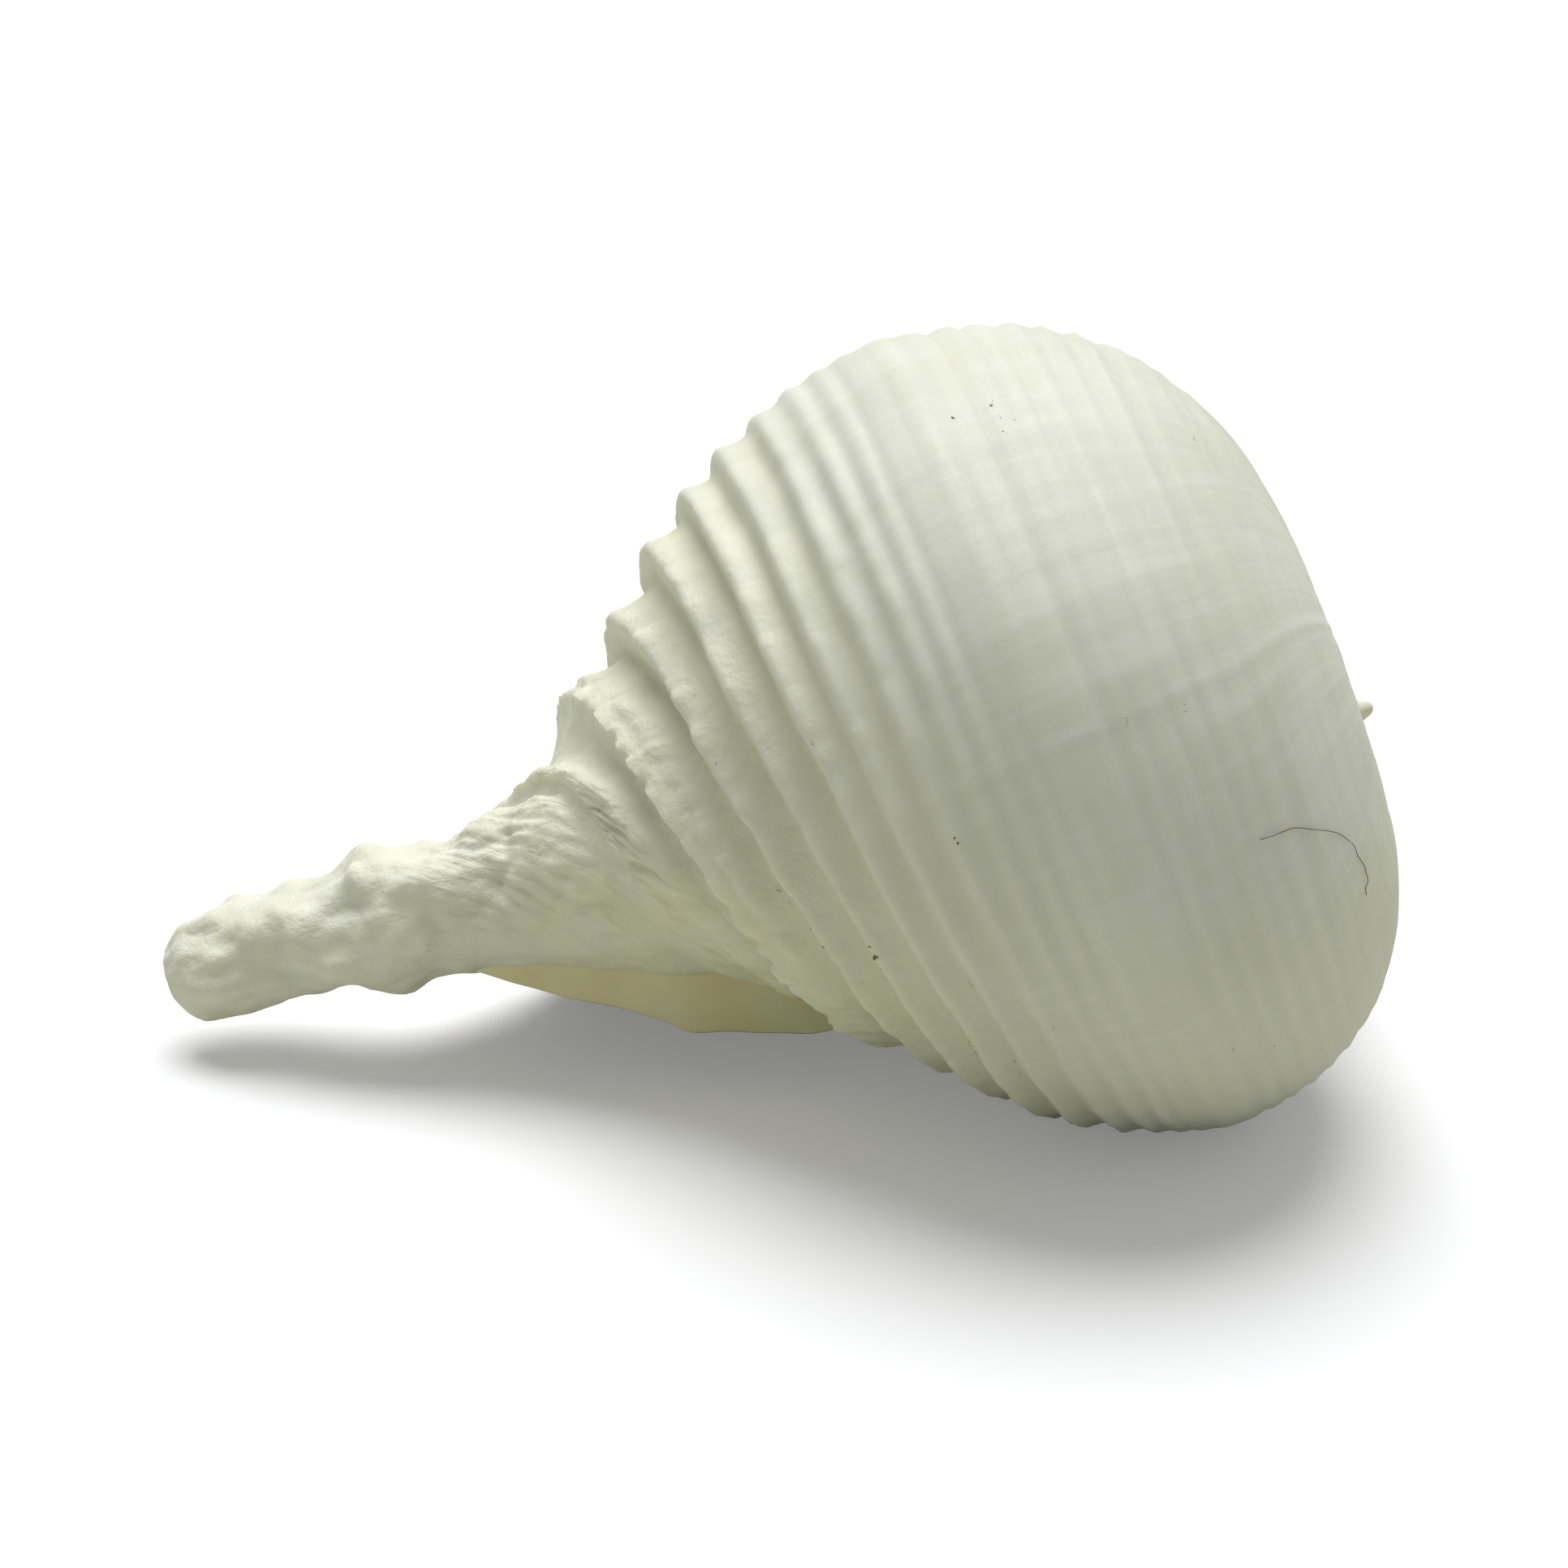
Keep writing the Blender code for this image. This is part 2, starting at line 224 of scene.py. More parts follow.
# Grains of dirt: length along the profile, azimuth and size.
GRAINS = [
    (21.75, -15.5, 0.16), (21.8, -18.5, 0.1), (21.8, -21.0, 0.1), (23.75, -17.0, 0.16),
    (21.1, -18.5, 0.08), (21.7, -24.5, 0.06), (11.5, -16.0, 0.11), (18.7, -61.6, 0.12),
    (21.8, -61.8, 0.08), (31.95, -68.9, 0.13), (36.9, -49.5, 0.1), (43.5, -41.0, 0.1),
    (30.2, -64.0, 0.07), (25.2, -1.5, 0.07), (25.3, -4.0, 0.06), (35.0, -90.5, 0.12),
    (35.0, -93.5, 0.07), (35.1, -108.0, 0.12), (35.3, -112.5, 0.09), (37.5, -105.5, 0.14),
    (37.5, -109.3, 0.11), (40.2, -84.0, 0.2), (40.3, -86.5, 0.17), (40.3, -89.0, 0.14),
    (40.2, -82.0, 0.14), (40.4, -91.0, 0.1), (44.2, -79.0, 0.2), (44.3, -81.5, 0.16),
    (44.1, -77.0, 0.12), (44.2, -83.5, 0.12), (44.5, -71.5, 0.1), (44.7, -67.5, 0.12),
    (22.8, -110.3, 0.1), (26.0, -113.8, 0.08), (20.6, -114.0, 0.08), (19.3, -100.0, 0.05),
    (24.0, -77.0, 0.05), (28.9, -79.0, 0.05), (31.6, -99.0, 0.07), (32.7, -103.0, 0.07),
]


def growth(azimuth):
    """Size of the spiral at an azimuth, 1 at azimuth 0."""
    return TURN_RATIO ** (np.asarray(azimuth) / 360.0)


def smooth_curve(points, steps):
    """Catmull-Rom curve through the points."""
    pts = np.array([2 * np.array(points[0]) - np.array(points[1])] + list(points)
                   + [2 * np.array(points[-1]) - np.array(points[-2])], dtype=float)
    out = []
    for i in range(1, len(pts) - 2):
        p0, p1, p2, p3 = pts[i - 1:i + 3]
        for t in np.arange(steps) / steps:
            out.append(0.5 * (2 * p1 + (p2 - p0) * t + (2 * p0 - 5 * p1 + 4 * p2 - p3) * t * t
                              + (3 * p1 - p0 - 3 * p2 + p3) * t ** 3))
    out.append(pts[-2])
    return np.array(out)


def smoothstep(t):
    """Smooth step from 0 to 1."""
    t = np.clip(t, 0.0, 1.0)
    return t * t * (3 - 2 * t)


def hump(value, centre, width):
    """Bell of height 1 about a centre."""
    return np.exp(-((value - centre) / width) ** 2)


def from_table(table, value):
    """Value read between the pairs of a table."""
    table = np.array(table)
    return np.interp(value, table[:, 0], table[:, 1])


def lattice_noise(seed, *coords):
    """Smooth noise from -1 to 1 on a lattice of one cell per unit, in up to 3 dimensions."""
    table = np.random.RandomState(seed).uniform(-1, 1, 4096)
    coords = np.broadcast_arrays(*coords)
    cells = [np.floor(c).astype(int) for c in coords]
    fades = [smoothstep(c - f) for c, f in zip(coords, cells)]
    total = 0.0
    for corner in range(2 ** len(coords)):
        index = 0
        weight = 1.0
        for k, (cell, fade) in enumerate(zip(cells, fades)):
            step = (corner >> k) & 1
            index = index + (cell + step) * (73, 1151, 2711)[k]
            weight = weight * (fade if step else 1 - fade)
        total = total + weight * table[index % 4096]
    return total


def profile_table():
    """Length along the body whorl's profile, and its points."""
    suture = tuple(np.array(SHOULDER[-1]) / TURN_RATIO)
    line = smooth_curve([suture] + SHOULDER + BULGE + BASE, PROFILE_STEPS)
    length = np.r_[0, np.cumsum(np.linalg.norm(np.diff(line, axis=0), axis=1))]
    return length, line


LENGTH, LINE = profile_table()
SHOULDER_LENGTH = LENGTH[PROFILE_STEPS * len(SHOULDER)]


def profile(s):
    """Place along the axis and radius at a length along the profile."""
    return np.interp(s, LENGTH, LINE[:, 0]), np.interp(s, LENGTH, LINE[:, 1])


def profile_normal(s):
    """Outward direction of the profile: along the axis, and away from it."""
    step = 0.05
    ahead = np.array(profile(min(s + step, LENGTH[-1])))
    behind = np.array(profile(s - step if s > step else 0.0))
    along = ahead - behind
    return np.array([along[1], -along[0]]) / np.hypot(*along)


def spiral(place, radius, azimuth):
    """Point of the spiral from its place and radius in the plane of azimuth 0."""
    k = growth(azimuth)
    a = np.radians(azimuth)
    return np.stack([place * k, radius * k * np.sin(a), radius * k * np.cos(a)], axis=-1)


def growth_phase(s, azimuth):
    """Azimuth at the shoulder of the growth line through a point."""
    return azimuth + from_table(GROWTH_LAG, s)


def cord_relief(s, azimuth):
    """Depth below the crests, rounded off along the profile."""
    return sum(sharp_relief(s + step, azimuth) for step in CREST_STEPS) / len(CREST_STEPS)


def sharp_relief(s, azimuth):
    """Depth below the crests: a steep front face, a hollow, then a gentle back slope."""
    depth = np.zeros(np.broadcast(s, azimuth).shape)
    wander = 0.10 * lattice_noise(5, azimuth / 14.0, s / 3.0)
    s = s + wander + 0.04 * lattice_noise(6, azimuth / 4.0, s / 3.0)
    above = smoothstep((azimuth + 50.0) / 45.0)
    for i, (crest, hollow) in enumerate(CORDS):
        end = CORDS[i + 1][0] if i + 1 < len(CORDS) else crest + LAST_REACH
        t = (s - crest) / (end - crest)
        inside = (t >= 0) & (t < 1)
        front = smoothstep(t / FRONT_SHARE)
        back = 1 - np.clip((t - FRONT_SHARE) / (1 - FRONT_SHARE), 0, 1) ** 2.0
        gain = 1.0 + 0.70 * above if crest < FAINT_END else 0.86 + 0.16 * above
        strength = 1.15 * hollow * gain * (1 + 0.12 * lattice_noise(20 + i, azimuth / 11.0))
        depth = np.where(inside, strength * front * back, depth)
    return depth


def body_detail(s, azimuth):
    """Growth lines, threads, swells and scaly crests, in millimetres outwards."""
    phase = growth_phase(s, azimuth)
    lines = 0.012 * lattice_noise(31, phase / 2.1, s / 7.0)
    lines = lines + 0.030 * lattice_noise(32, phase / 5.3, s / 7.0)
    for at, height, width in GROWTH_RIDGES:
        lines += height * hump(phase, at, width)
        lines -= 0.7 * height * hump(phase, at - 2.0 * width, 1.6 * width)
    lines *= 0.25 + 0.75 * smoothstep((44.0 - s) / 16.0)
    threads = 0.010 * lattice_noise(34, s / 0.8, azimuth / 22.0) * smoothstep((s - 6.0) / 6.0)
    swell = 0.12 * lattice_noise(35, s / 6.0, azimuth / 17.0)
    swell += 0.38 * hump(s, 12.0, 7.0) * hump(azimuth, 8.0, 26.0)
    swell -= 0.34 * hump(azimuth, -142.0, 19.0) * smoothstep((s - 10.0) / 10.0)
    crest = np.zeros_like(lines)
    for place, reach in CREST_SCALES:
        scales = lattice_noise(36, phase / 5.2, place) + 0.6 * lattice_noise(37, phase / 2.3, place)
        crest += reach * hump(s, place - 0.15, 0.6) * scales
    return lines + threads + swell + crest


def pillar_at(place):
    """Radius, rise and sway of the pillar at a place along the axis."""
    table = np.array(PILLAR[::-1])
    return tuple(np.interp(place, table[:, 0], table[:, i]) for i in (1, 2, 3))


def pillar(place, azimuth):
    """Point on the fasciole or the canal."""
    radius, rise, sway = pillar_at(place)
    a = np.radians(azimuth)
    return np.stack([place + 0 * a, sway + radius * np.sin(a), rise + radius * np.cos(a)], axis=-1)


def base_point(fraction, azimuth):
    """From the last cord down the base and fasciole to the canal."""
    k = growth(azimuth)
    start = LINE[-1][0] * k
    place = start + (CANAL_JOIN - start) * fraction
    drop = start - place
    radius = np.maximum(LINE[-1][1] * k - BASE_SLOPE * drop, 2.0)
    a = np.radians(azimuth)
    body = np.stack([place, radius * np.sin(a), radius * np.cos(a)], axis=-1)
    mix = smoothstep(drop / BLEND_LENGTH)[..., None]
    return (1 - mix) * body + mix * pillar(place, azimuth)


def last_cords(azimuth, fraction, crest):
    """Brow of the scaly cord, the hollow after it and the last, crumbling cord."""
    floor = from_table(HOLLOW_FLOOR, azimuth)
    top = smoothstep((azimuth + 45.0) / 60.0)
    crumble = lattice_noise(51, (azimuth + 60 * fraction) / 6.0, fraction * 14)
    crumble = crumble + 0.6 * lattice_noise(59, (azimuth - 160 * fraction) / 2.6, fraction * 9)
    flakes = lattice_noise(61, azimuth / 2.1, fraction * 25)
    flakes = flakes * (0.6 + 0.9 * lattice_noise(63, azimuth / 9.0))
    flakes = flakes + 0.8 * lattice_noise(62, azimuth / 5.3, fraction * 30)
    brow = (0.46 - 0.28 * top + 0.14 * crumble) * smoothstep(fraction / 0.02)
    brow = brow * smoothstep((0.060 + 0.012 * flakes - fraction) / 0.022)
    brow = brow + 0.15 * flakes * hump(fraction, 0.03, 0.02)
    ridge = smoothstep((fraction - floor * 0.8) / 0.05) * smoothstep((crest - fraction + 0.01) / 0.02)
    hollow = np.sin(math.pi * np.clip((fraction - 0.035) / (floor - 0.035), 0, 1)) ** 1.1
    notch = hump(fraction, crest + 0.055, 0.035)
    raised = brow + (0.30 + 0.22 * crumble) * ridge
    return raised - (0.94 - 0.22 * top) * hollow - (0.20 + 0.14 * top) * notch


def lamellae(place, azimuth):
    """Oblique lamellae of the fasciole, each with a gentle rise and a steeper fall."""
    warp = 0.30 * lattice_noise(52, place / 2.4, azimuth / 14.0)
    turned = (place + SLANT * azimuth + warp) / LAMELLA_SPACING
    edge = turned - np.floor(turned)
    height = np.where(edge < 0.6, edge / 0.6, (1 - edge) / 0.4) - 0.5
    height = height * (0.65 + 0.75 * lattice_noise(54, place / 1.8, azimuth / 12.0))
    return height + 0.65 * lattice_noise(64, place / 0.8, azimuth / 8.0)


def lumps(place, azimuth):
    """Broad and fine lumps, stronger towards the end of the canal."""
    strength = 0.62 + 0.38 * smoothstep((-43.0 - place) / 5.0)
    broad = 0.60 * lattice_noise(55, place / 3.1, azimuth / 48.0)
    middle = 0.34 * strength * lattice_noise(56, place / 1.7, azimuth / 26.0)
    return broad + middle + 0.17 * strength * lattice_noise(57, place / 1.0, azimuth / 16.0)


def base_detail(place, azimuth, fraction):
    """Last cords, lamellae of the fasciole and lumps of the canal, in millimetres outwards."""
    crest = from_table(LAST_CREST, azimuth)
    under = 0.45 + 0.55 * smoothstep((azimuth + 128.0) / 40.0)
    fasciole = smoothstep((fraction - crest - 0.02) / 0.08) * smoothstep((0.78 - fraction) / 0.25)
    out = last_cords(azimuth, fraction, crest)
    out += LAMELLA_HEIGHT * fasciole * lamellae(place, azimuth) * under
    out += lumps(place, azimuth) * smoothstep((fraction - 0.3) / 0.3) * under
    out += 0.06 * lattice_noise(58, place / 1.0, azimuth / 11.0)
    for at, around, height, length, width in CANAL_LUMPS:
        out += height * hump(place, at, length) * hump(azimuth, around, width)
    window = smoothstep((azimuth - (LIP - 360)) / 25.0) * smoothstep((LIP - azimuth) / 25.0)
    return out * window


def column_azimuths():
    """Azimuths of the columns, closer together on the near side and the top."""
    low, high = NEAR_SIDE
    far_low = np.linspace(LIP - 360, low, FAR_COLUMNS, endpoint=False)
    near = np.linspace(low, high, NEAR_COLUMNS, endpoint=False)
    far_high = np.linspace(high, LIP, FAR_COLUMNS)
    return np.concatenate([far_low, near, far_high])


def outer_grid():
    """Rows of the nub, the spire and the body whorl, with their tags."""
    azimuth = column_azimuths()
    around = np.radians(azimuth)
    shoulder = np.linspace(0, SHOULDER_LENGTH, SHOULDER_ROWS)
    bulge = np.linspace(SHOULDER_LENGTH, STRONG_START, BULGE_ROWS)[1:]
    strong = np.linspace(STRONG_START, LENGTH[-1], CORD_ROWS)[1:]
    grid = []
    tags = []

    def add(points, s, relief):
        grid.append(points)
        tags.append((np.broadcast_to(s, azimuth.shape), relief, np.zeros(azimuth.shape)))

    for place, radius in reversed(NUB):
        ring = [np.full(azimuth.shape, place), radius * np.sin(around), radius * np.cos(around)]
        add(np.stack(ring, axis=-1), 0.0, np.zeros(azimuth.shape))
    for back in (720.0, 360.0, 0.0):
        turn = azimuth - back
        for s in (shoulder[:-1] if back else np.concatenate([shoulder, bulge, strong])):
            place, radius = profile(s)
            normal = profile_normal(s)
            along = np.full(turn.shape, s)
            relief = cord_relief(along, turn)
            detail = body_detail(along, turn) * smoothstep(s / 1.5)
            shift = (detail - relief) * smoothstep((growth(turn) - 0.1) / 0.3)
            add(spiral(place + normal[0] * shift, radius + normal[1] * shift, turn), s, relief)
    return azimuth, grid, tags


def close_seam(array, join):
    """Join the last column to the first: of its own turn, or in the spire of the next whorl."""
    inner = len(NUB)
    middle = inner + SPIRE_ROWS
    outer = middle + SPIRE_ROWS
    array[:inner, -1] = array[:inner, 0]
    array[inner:middle, -1] = array[middle:outer, 0]
    array[middle:outer, -1] = array[outer:outer + SPIRE_ROWS, 0]
    array[join:, -1] = array[join:, 0]


def build_outer():
    """Grid of the whole outer wall with its tags and azimuths, and the row where the canal begins."""
    azimuth, grid, tags = outer_grid()
    join = len(grid) + BASE_ROWS - 2
    fractions = np.linspace(0, 1, BASE_ROWS)
    canal = np.concatenate([np.linspace(CANAL_JOIN, CANAL_ROUNDING, CANAL_ROWS)[1:], CANAL_END])
    sheet = np.array([base_point(f, azimuth) for f in fractions] + [pillar(p, azimuth) for p in canal])
    normal = np.cross(np.gradient(sheet, axis=1), np.gradient(sheet, axis=0))
    normal /= np.linalg.norm(normal, axis=-1, keepdims=True) + 1e-9
    if (normal * sheet)[..., 1:].sum() < 0:
        normal = -normal
    shares = np.concatenate([fractions[1:], 1.0 + 0.02 * np.arange(1, len(canal) + 1)])
    end_relief = cord_relief(np.full(azimuth.shape, LENGTH[-1]), azimuth)
    for i, share in enumerate(shares, start=1):
        full = np.full(azimuth.shape, share)
        begun = smoothstep(share / 0.05)
        detail = base_detail(sheet[i][:, 0], azimuth, full) * begun
        detail = detail - end_relief * growth(azimuth) * (1 - begun)
        rows_left = len(shares) - i + 1
        if rows_left <= CLOSING_ROWS:
            detail = detail * rows_left / (CLOSING_ROWS + 1)
        grid.append(sheet[i] + normal[i] * detail[:, None])
        # Depth of the hollows of the base, which the material turns into painted shade.
        hollow = 0.5 * np.clip(-detail, 0, 1)
        tags.append((LENGTH[-1] + BASE_REACH * full, hollow, np.ones(azimuth.shape)))
    points = np.array(grid)
    close_seam(points, join)
    return points, tags, azimuth, join


def to_world(points):
    """From the spiral's own axes, in millimetres, to the frame, in metres."""
    tilt = math.radians(AXIS_TILT)
    yaw = math.radians(AXIS_YAW)
    along = np.array([math.cos(tilt) * math.cos(yaw), math.cos(tilt) * math.sin(yaw), math.sin(tilt)])
    far = np.array([-math.sin(yaw), math.cos(yaw), 0.0])
    axes = np.stack([along, far, np.cross(along, far)], axis=1)
    return (np.asarray(points) @ axes.T + APEX) * MM


def add_mesh(name, vertices, faces):
    """Object made of the vertices and faces."""
    mesh = bpy.data.meshes.new(name)
    mesh.from_pydata([tuple(v) for v in vertices], [], faces)
    mesh.validate()
    item = bpy.data.objects.new(name, mesh)
    bpy.context.scene.collection.objects.link(item)
    return item


def close_normals(item):
    """Merge doubles, fill holes and turn the faces outwards."""
    bm = bmesh.new()
    bm.from_mesh(item.data)
    bmesh.ops.remove_doubles(bm, verts=bm.verts, dist=1e-7)
    bmesh.ops.dissolve_degenerate(bm, edges=bm.edges, dist=1e-8)
    rim = [e for e in bm.edges if len(e.link_faces) == 1]
    if rim:
        bmesh.ops.holes_fill(bm, edges=rim, sides=0)
    bmesh.ops.recalc_face_normals(bm, faces=bm.faces)
    bm.to_mesh(item.data)
    bm.free()


def outer_object():
    """Closed outer wall, its points, and the tags and azimuths that belong to them."""
    points, tags, azimuth, join = build_outer()
    rows, columns = points.shape[:2]
    index = np.arange(rows * columns).reshape(rows, columns)
    close_seam(index, join)
    faces = []
    for a, b in zip(index[:-1], index[1:]):
        for j in range(columns - 1):
            faces.append((a[j], b[j], b[j + 1], a[j + 1]))
    apex = rows * columns
    tip = apex + 1
    world = np.vstack([to_world(points.reshape(-1, 3)), to_world([(NUB_TIP, 0, 0), CANAL_TIP])])
    for j in range(columns - 1):
        faces.append((apex, index[0, j], index[0, j + 1]))
        faces.append((tip, index[-1, j + 1], index[-1, j]))
    # Step between the lip and the wall of the whorl before it.
    first = len(NUB) + 2 * SPIRE_ROWS
    lip = index[first:join + 1, -1]
    wall = index[first + SPIRE_ROWS:join + 1, 0]
    for i in range(1, SPIRE_ROWS):
        faces.append((wall[0], lip[i], lip[i + 1]))
    for i in range(len(wall) - 1):
        corners = (wall[i], lip[i + SPIRE_ROWS], lip[i + SPIRE_ROWS + 1], wall[i + 1])
        faces.append(corners[:3] if corners[2] == corners[3] else corners)
    item = add_mesh("shell_body", world, [tuple(int(c) for c in f) for f in faces])
    ends = [0.0, 0.0]
    values = [np.concatenate([np.stack([t[k] for t in tags]).ravel(), ends]) for k in range(3)]
    arc = np.broadcast_to(azimuth, (rows, columns)).ravel()
    return item, world, values, np.concatenate([arc, ends])


def tube(name, rings):
    """Closed tube through rings with the same number of points."""
    rings = np.array(rings)
    count = rings.shape[1]
    faces = []
    for i in range(len(rings) - 1):
        for k in range(count):
            m = (k + 1) % count
            faces.append((i * count + k, i * count + m, (i + 1) * count + m, (i + 1) * count + k))
    faces.append(tuple(range(count - 1, -1, -1)))
    faces.append(tuple(range((len(rings) - 1) * count, len(rings) * count)))
    return add_mesh(name, rings.reshape(-1, 3), faces)


def hollow_cutter():
    """The spiral hollow, following the cords from inside a thin wall."""
    start, middle, end = HOLLOW_SPAN
    s = np.concatenate([np.linspace(start, middle, 20, endpoint=False), np.linspace(middle, end, 52)])
    place, radius = profile(s)
    step = np.gradient(np.stack([place, radius], axis=1), axis=0)
    normal = np.stack([step[:, 1], -step[:, 0]], axis=1) / np.hypot(step[:, 0], step[:, 1])[:, None]
    back = smooth_curve(COLUMELLA, 3)
    rings = []
    for azimuth in np.linspace(LIP + 10.0, LIP - 385.0, 120):
        inside = cord_relief(s, np.full(s.shape, azimuth)) * 0.9 + WALL
        outer = np.stack([place, radius], axis=1) - normal * inside[:, None]
        ring = np.vstack([outer, back])
        rings.append(to_world(spiral(ring[:, 0], ring[:, 1], azimuth)))
    return tube("cut_hollow", rings)


def gutter_cutter():
    """Uneven trough along the far side of the canal."""
    a = math.radians(GUTTER_AZIMUTH)
    outward = np.array([0.0, math.sin(a), math.cos(a)])
    across = np.array([0.0, math.cos(a), -math.sin(a)])
    rings = []
    for place in np.linspace(*GUTTER_SPAN, 24):
        _, rise, sway = pillar_at(place)
        centre = np.array([place, sway, rise]) + GUTTER_OFFSET * outward
        ring = []
        for angle in np.linspace(0, 2 * math.pi, 22, endpoint=False):
            wave = 1 + 0.12 * float(lattice_noise(71, np.array(place / 3.0), np.array(angle)))
            deep = GUTTER_HALF_DEPTH * math.cos(angle) * outward
            wide = GUTTER_HALF_WIDTH * math.sin(angle) * across
            ring.append(centre + wave * (deep + wide))
        rings.append(to_world(ring))
    return tube("cut_gutter", rings)


def notch_cutter():
    """Block that opens the aperture behind the leaf of the inner lip."""
    return tube("cut_notch", [[(x * MM, y * MM, z * MM) for x, z in NOTCH] for y in NOTCH_WIDTH])


def floor_cutter():
    """Block that takes away what would reach below the floor."""
    corners = [(-0.1, -0.1), (0.1, -0.1), (0.1, 0.1), (-0.1, 0.1)]
    return tube("cut_floor", [[(x, y, z) for x, y in corners] for z in (-0.03, 0.0)])


def cut(item, cutters):
    """Take the cutters away and leave a plain mesh."""
    group = bpy.data.collections.new("cutters")
    bpy.context.scene.collection.children.link(group)
    for cutter in cutters:
        close_normals(cutter)
        bpy.context.scene.collection.objects.unlink(cutter)
        group.objects.link(cutter)
    for cutter in cutters:
        step = item.modifiers.new(cutter.name, "BOOLEAN")
        step.operation = "DIFFERENCE"
        step.solver = "MANIFOLD"
        step.object = cutter
    graph = bpy.context.evaluated_depsgraph_get()
    mesh = bpy.data.meshes.new_from_object(item.evaluated_get(graph))
    item.modifiers.clear()
    item.data = mesh
    for cutter in cutters:
        bpy.data.objects.remove(cutter, do_unlink=True)
    bpy.data.collections.remove(group)


def set_attribute(mesh, name, values, kind="FLOAT"):
    """Store a value at each vertex for the materials."""
    layer = mesh.attributes.new(name, kind, "POINT")
    key = "value" if kind == "FLOAT" else "vector"
    layer.data.foreach_set(key, np.asarray(values, dtype=np.float32).ravel())


def item_places(item):
    """Place of each vertex along the coiling axis, in millimetres."""
    apex, ahead = to_world([(0.0, 0.0, 0.0), (1.0, 0.0, 0.0)])
    points = np.array([v.co for v in item.data.vertices])
    return (points - apex) @ (ahead - apex) / (MM * MM)


def pale_streaks(s, phase):
    """Brightness of the pale growth lines, broken up along their length."""
    streak = np.zeros(len(s))
    for at, bright in STREAKS:
        shape = hump(phase + 0.4 * lattice_noise(91, s / 5.0, at), at, 0.85)
        streak += bright * shape * np.clip(0.6 + 0.8 * lattice_noise(92, s / 1.7, at), 0, 1)
    return streak * smoothstep((34.0 - s) / 10.0)


def tag_surface(item, world, values, azimuth):
    """Give each vertex its place in the spiral, so that materials can follow the growth."""
    tree = KDTree(len(world))
    for i, p in enumerate(world):
        tree.insert(p, i)
    tree.balance()
    mesh = item.data
    hits = [tree.find(v.co) for v in mesh.vertices]
    index = np.array([h[1] for h in hits])
    inner = np.array([h[2] for h in hits]) > INNER_GAP * MM
    s, relief, zone = (v[index] for v in values)
    az = azimuth[index]
    place = item_places(item)
    phase = growth_phase(s, az)
    on_body = zone == 0
    set_attribute(mesh, "flow", np.stack([s, phase * 0.35, az * 0.35], axis=1), "FLOAT_VECTOR")
    # Depth below the crests, which the material turns into painted shade in the hollows.
    set_attribute(mesh, "relief", relief)
    set_attribute(mesh, "zone", zone)
    set_attribute(mesh, "inside", inner.astype(float))
    # Fine plies run along the lamellae and die away towards the canal.
    ripple = 0.4 * lattice_noise(93, place / 2.0, az / 12.0)
    ply = np.stack([(place + SLANT * az) * 1.9 + ripple, az * 0.03, place * 0.25], axis=1)
    set_attribute(mesh, "ply", ply, "FLOAT_VECTOR")
    plied = (zone > 0) * smoothstep((s - 48.0) / 2.0) * smoothstep((place + 51.0) / 6.0)
    plied = plied * np.clip(0.6 + 0.8 * lattice_noise(94, place / 1.3, az / 10.0), 0, 1)
    set_attribute(mesh, "plied", plied)
    # Painted shade: a yellow-green tint for the shade low on the near side, growing down the whorl and
    # fading along the base towards the canal.
    low = 0.30 + 0.70 * smoothstep((-40.0 - az) / 50.0)
    fade = 1 - 0.7 * smoothstep(((s - LENGTH[-1]) / BASE_REACH - 0.2) / 0.6)
    shade_tint = low * np.where(on_body, smoothstep((s - 29.0) / 15.0), fade)
    set_attribute(mesh, "shade_tint", np.maximum(shade_tint, 0.30 * smoothstep((-80.0 - az) / 40.0)))
    set_attribute(mesh, "rough", np.where(on_body, smoothstep((s - 30.0) / 14.0), 1.0))
    set_attribute(mesh, "streak", pale_streaks(s, phase) * on_body)


def smooth(item, angle=None):
    """Smooth shading, with edges above an angle in degrees kept sharp."""
    item.data.shade_smooth()
    if angle:
        item.data.set_sharp_from_angle(angle=math.radians(angle))


def inner_lip_object():
    """Smooth leaf of the inner lip beside the columella."""
    rings = []
    for place, low, offset in smooth_curve(INNER_LIP, 9):
        radius, rise, _ = pillar_at(place)
        root = rise - 0.35 * radius
        low = low + 0.05 * float(lattice_noise(81, np.array(place / 1.4)))
        side = []
        for t in np.linspace(0, 1, 12):
            height = root + (low + 0.15 - root) * t
            lean = offset + 1.4 * (1 - t) ** 1.5
            side.append((lean, height, LEAF_ROOT + (LEAF_EDGE - LEAF_ROOT) * t))
        near = [(place, y - w, z) for y, z, w in side]
        far = [(place, y + w, z) for y, z, w in reversed(side)]
        rings.append(to_world(near + [(place, offset, low)] + far))
    item = tube("shell_inner_lip", rings)
    close_normals(item)
    smooth(item, 50)
    return item


def surface_point(tree, s, azimuth, lift):
    """Point just above the finished surface, and its normal."""
    place, radius = profile(s)
    ends = [spiral(place, radius + 3.0, azimuth), spiral(place, 0.0, azimuth)]
    start, centre = (Vector(p) for p in to_world(ends))
    hit = tree.ray_cast(start, (centre - start).normalized())
    if hit[0] is None:
        return start, Vector((0, 0, 1))
    return hit[0] + hit[1] * lift, hit[1]


